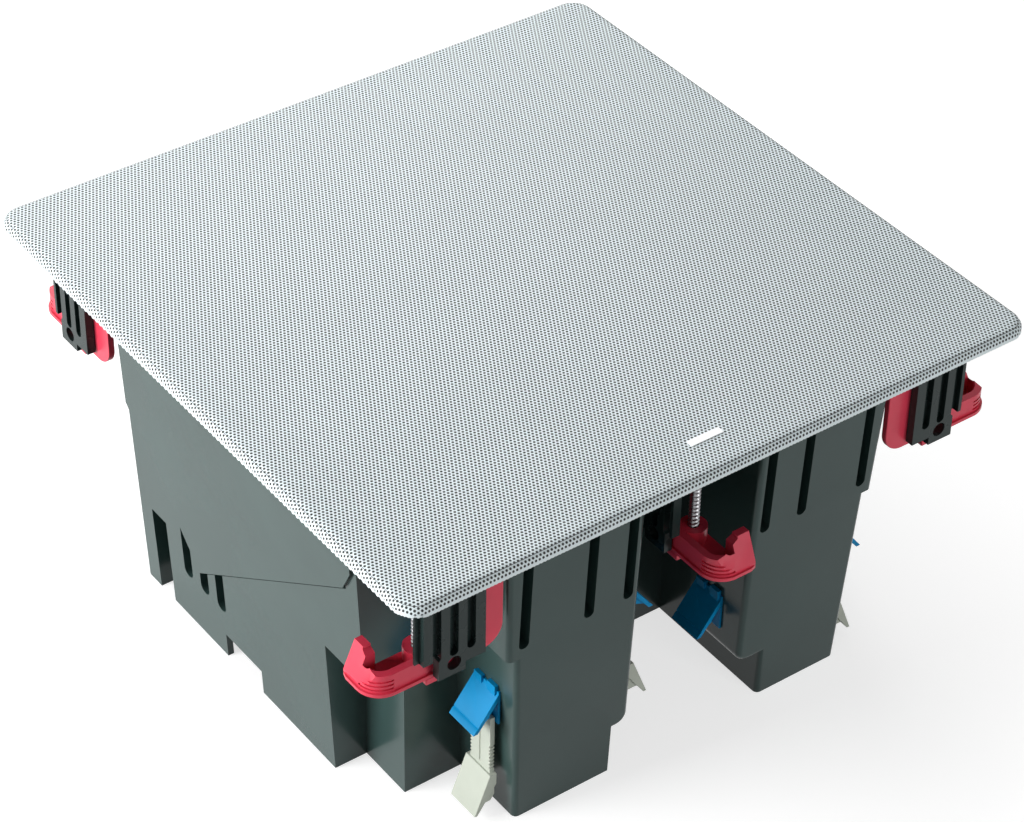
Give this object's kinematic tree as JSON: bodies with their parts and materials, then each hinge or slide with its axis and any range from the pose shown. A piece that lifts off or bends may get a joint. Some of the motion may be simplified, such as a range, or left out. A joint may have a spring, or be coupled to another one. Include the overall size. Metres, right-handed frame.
{
  "type": "in-ceiling loudspeaker",
  "caption": "Square in-ceiling loudspeaker with perforated grille, closed back box and swing-out screw clamps.",
  "frame": {"origin": "on the floor plane under the centre of the grille", "axes": "+Z out of the grille, -Y towards the edge with the badge, +X to the right of it"},
  "size_m": [0.325, 0.325, 0.1715],
  "materials": {
    "white_steel": "satin",
    "badge_metal": "satin",
    "black_plastic": "satin",
    "red_plastic": "satin",
    "blue_plastic": "satin",
    "cream_plastic": "satin",
    "plated_steel": "brushed",
    "ferrite": "matte",
    "cone_poly": "matte",
    "surround_rubber": "matte",
    "spider_cloth": "matte",
    "board_wood": "matte",
    "circuit_board": "gloss",
    "copper_wire": "gloss",
    "wadding_cloth": "matte"
  },
  "bodies": {
    "housing": {"back_box": "black_plastic", "badge": "badge_metal", "baffle": "board_wood", "baffle_screws": "plated_steel", "catch_inner": "blue_plastic", "catch_left": "blue_plastic", "catch_lone": "blue_plastic", "catch_right": "blue_plastic", "driver_screws": "plated_steel", "filter_board": "circuit_board", "filter_capacitors": "black_plastic", "filter_chokes": "copper_wire", "flange_screws": "plated_steel", "frame": "black_plastic", "grille": "white_steel", "grille_magnets": "ferrite", "terminal_black": "black_plastic", "terminal_plate": "black_plastic", "terminal_red": "red_plastic", "tweeter_motor": "ferrite", "tweeter_plate": "black_plastic", "tweeter_surround": "surround_rubber", "wadding": "wadding_cloth", "woofer_basket_left": "plated_steel", "woofer_basket_right": "plated_steel", "woofer_magnet_left": "ferrite", "woofer_magnet_right": "ferrite", "woofer_spider_left": "spider_cloth", "woofer_spider_right": "spider_cloth", "woofer_surround_left": "surround_rubber", "woofer_surround_right": "surround_rubber", "woofer_top_plate_left": "plated_steel", "woofer_top_plate_right": "plated_steel", "woofer_yoke_left": "plated_steel", "woofer_yoke_right": "plated_steel"},
    "screw_front_left": {"clamp_screw_front_left": "plated_steel"},
    "carriage_front_left": {"clamp_carriage_front_left": "red_plastic"},
    "hook_front_left": {"clamp_hook_front_left": "red_plastic"},
    "screw_front_right": {"clamp_screw_front_right": "plated_steel"},
    "carriage_front_right": {"clamp_carriage_front_right": "red_plastic"},
    "hook_front_right": {"clamp_hook_front_right": "red_plastic"},
    "screw_rear_left": {"clamp_screw_rear_left": "plated_steel"},
    "carriage_rear_left": {"clamp_carriage_rear_left": "red_plastic"},
    "hook_rear_left": {"clamp_hook_rear_left": "red_plastic"},
    "screw_rear_right": {"clamp_screw_rear_right": "plated_steel"},
    "carriage_rear_right": {"clamp_carriage_rear_right": "red_plastic"},
    "hook_rear_right": {"clamp_hook_rear_right": "red_plastic"},
    "screw_front_middle": {"clamp_screw_front_middle": "plated_steel"},
    "carriage_front_middle": {"clamp_carriage_front_middle": "red_plastic"},
    "hook_front_middle": {"clamp_hook_front_middle": "red_plastic"},
    "cone_left": {"woofer_cone_left": "cone_poly", "woofer_dust_cap_left": "cone_poly", "woofer_voice_coil_left": "copper_wire"},
    "cone_right": {"woofer_cone_right": "cone_poly", "woofer_dust_cap_right": "cone_poly", "woofer_voice_coil_right": "copper_wire"},
    "dome": {"tweeter_dome": "spider_cloth"},
    "slide_left": {"ratchet_slide_left": "cream_plastic"},
    "slide_right": {"ratchet_slide_right": "cream_plastic"},
    "slide_inner": {"ratchet_slide_inner": "cream_plastic"}
  },
  "joints": [
    {"name": "front_left_screw_turn", "type": "hinge", "parent": "housing", "child": "screw_front_left", "pos_m": [-0.134, -0.1285, 0.12], "axis": [0, 0, 1], "range_deg": [-3781, 0]},
    {"name": "front_left_clamp_rise", "type": "slide", "parent": "housing", "child": "carriage_front_left", "axis": [0, 0, 1], "range_m": [0, 0.021]},
    {"name": "front_left_hook_swing", "type": "hinge", "parent": "carriage_front_left", "child": "hook_front_left", "pos_m": [-0.134, -0.1285, 0.12], "axis": [0, 0, 1], "range_deg": [-90, 0]},
    {"name": "front_right_screw_turn", "type": "hinge", "parent": "housing", "child": "screw_front_right", "pos_m": [0.134, -0.1285, 0.12], "axis": [0, 0, 1], "range_deg": [-3781, 0]},
    {"name": "front_right_clamp_rise", "type": "slide", "parent": "housing", "child": "carriage_front_right", "axis": [0, 0, 1], "range_m": [0, 0.021]},
    {"name": "front_right_hook_swing", "type": "hinge", "parent": "carriage_front_right", "child": "hook_front_right", "pos_m": [0.134, -0.1285, 0.12], "axis": [0, 0, 1], "range_deg": [0, 90]},
    {"name": "rear_left_screw_turn", "type": "hinge", "parent": "housing", "child": "screw_rear_left", "pos_m": [-0.1285, 0.134, 0.12], "axis": [0, 0, 1], "range_deg": [-3781, 0]},
    {"name": "rear_left_clamp_rise", "type": "slide", "parent": "housing", "child": "carriage_rear_left", "axis": [0, 0, 1], "range_m": [0, 0.021]},
    {"name": "rear_left_hook_swing", "type": "hinge", "parent": "carriage_rear_left", "child": "hook_rear_left", "pos_m": [-0.1285, 0.134, 0.12], "axis": [0, 0, 1], "range_deg": [-90, 0]},
    {"name": "rear_right_screw_turn", "type": "hinge", "parent": "housing", "child": "screw_rear_right", "pos_m": [0.1285, 0.134, 0.12], "axis": [0, 0, 1], "range_deg": [-3781, 0]},
    {"name": "rear_right_clamp_rise", "type": "slide", "parent": "housing", "child": "carriage_rear_right", "axis": [0, 0, 1], "range_m": [0, 0.021]},
    {"name": "rear_right_hook_swing", "type": "hinge", "parent": "carriage_rear_right", "child": "hook_rear_right", "pos_m": [0.1285, 0.134, 0.12], "axis": [0, 0, 1], "range_deg": [0, 90]},
    {"name": "front_middle_screw_turn", "type": "hinge", "parent": "housing", "child": "screw_front_middle", "pos_m": [0, -0.134, 0.12], "axis": [0, 0, 1], "range_deg": [-3781, 0]},
    {"name": "front_middle_clamp_rise", "type": "slide", "parent": "housing", "child": "carriage_front_middle", "axis": [0, 0, 1], "range_m": [0, 0.021]},
    {"name": "front_middle_hook_swing", "type": "hinge", "parent": "carriage_front_middle", "child": "hook_front_middle", "pos_m": [0, -0.134, 0.12], "axis": [0, 0, 1], "range_deg": [0, 90]},
    {"name": "left_cone_stroke", "type": "slide", "parent": "housing", "child": "cone_left", "axis": [0, 0.2588, 0.9659], "range_m": [-0.0035, 0.0035], "stiffness_N_per_m": 1200, "deforming": ["woofer_surround_left", "woofer_spider_left"]},
    {"name": "right_cone_stroke", "type": "slide", "parent": "housing", "child": "cone_right", "axis": [0, 0.2588, 0.9659], "range_m": [-0.0035, 0.0035], "stiffness_N_per_m": 1200, "deforming": ["woofer_surround_right", "woofer_spider_right"]},
    {"name": "dome_stroke", "type": "slide", "parent": "housing", "child": "dome", "axis": [0, 0.2588, 0.9659], "range_m": [-0.0004, 0.0004], "stiffness_N_per_m": 900, "deforming": ["tweeter_surround"]},
    {"name": "left_slide_rise", "type": "slide", "parent": "housing", "child": "slide_left", "axis": [0, 0, 1], "range_m": [0, 0.005]},
    {"name": "right_slide_rise", "type": "slide", "parent": "housing", "child": "slide_right", "axis": [0, 0, 1], "range_m": [0, 0.005]},
    {"name": "inner_slide_rise", "type": "slide", "parent": "housing", "child": "slide_inner", "axis": [0, 0, 1], "range_m": [0, 0.005]}
  ],
  "couplings": [
    {"joint": "front_left_screw_turn", "follows": "front_left_clamp_rise", "rad_per_m": -3141.6},
    {"joint": "front_right_screw_turn", "follows": "front_right_clamp_rise", "rad_per_m": -3141.6},
    {"joint": "rear_left_screw_turn", "follows": "rear_left_clamp_rise", "rad_per_m": -3141.6},
    {"joint": "rear_right_screw_turn", "follows": "rear_right_clamp_rise", "rad_per_m": -3141.6},
    {"joint": "front_middle_screw_turn", "follows": "front_middle_clamp_rise", "rad_per_m": -3141.6}
  ]
}
